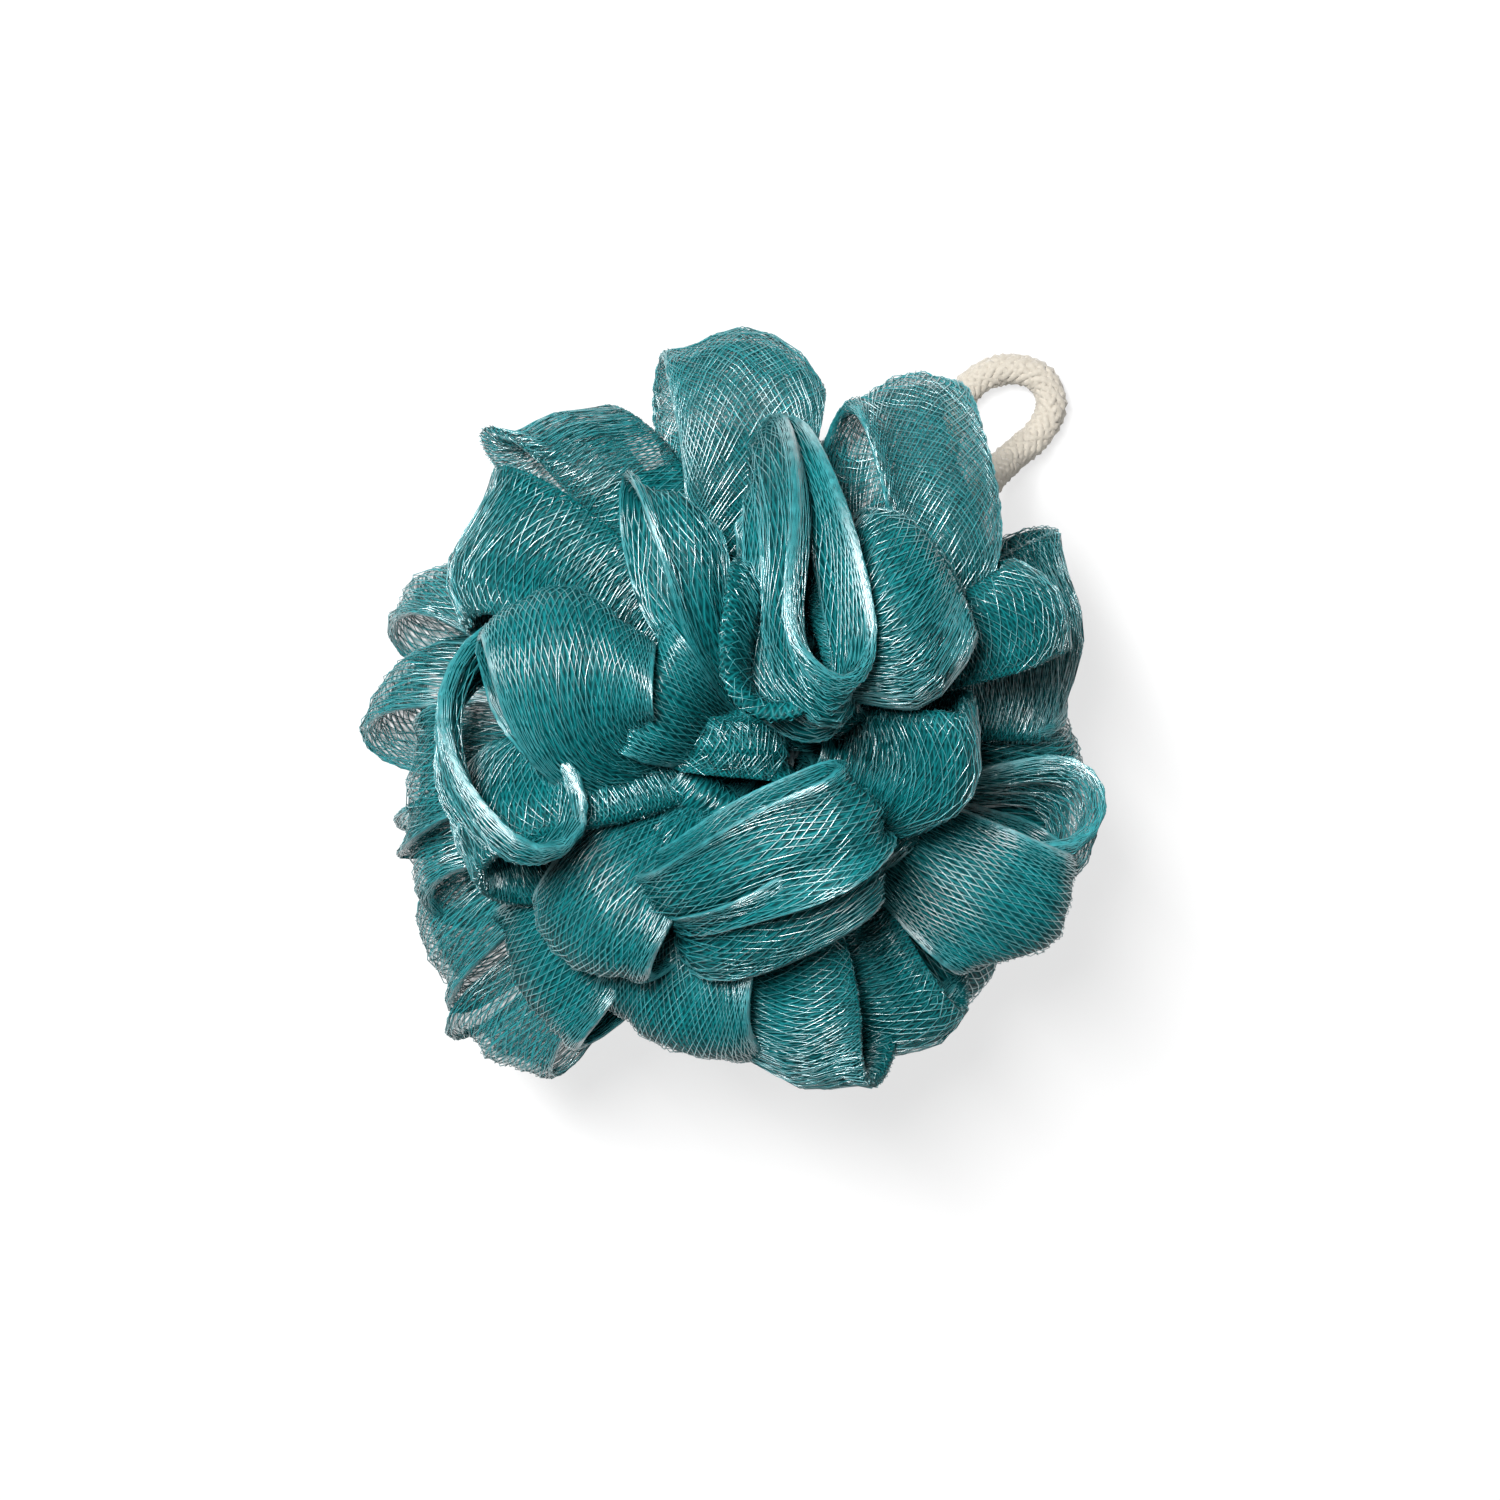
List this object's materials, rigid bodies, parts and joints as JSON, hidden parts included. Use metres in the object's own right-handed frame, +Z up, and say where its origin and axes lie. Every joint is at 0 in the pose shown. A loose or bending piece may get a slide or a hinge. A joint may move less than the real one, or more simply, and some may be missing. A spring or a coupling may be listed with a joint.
{
  "type": "mesh bath pouf",
  "caption": "Round bath pouf of soft gathered netting with a cotton hanging loop, for lathering soap and washing.",
  "frame": {"origin": "on the surface the pouf rests on, under the middle of the netting", "axes": "+Z up, through the gather that faces up; +X to the right and +Y towards the back, with the hanging loop at the back right"},
  "size_m": [0.1255, 0.1309, 0.1037],
  "materials": {
    "net": "soft glossy plastic net, teal",
    "tie": "matt thread, grey",
    "cord": "matt braided cotton, cream"
  },
  "bodies": {
    "root": {"netting": "net", "waist_tie": "tie", "hanging_loop": "cord"}
  },
  "joints": []
}
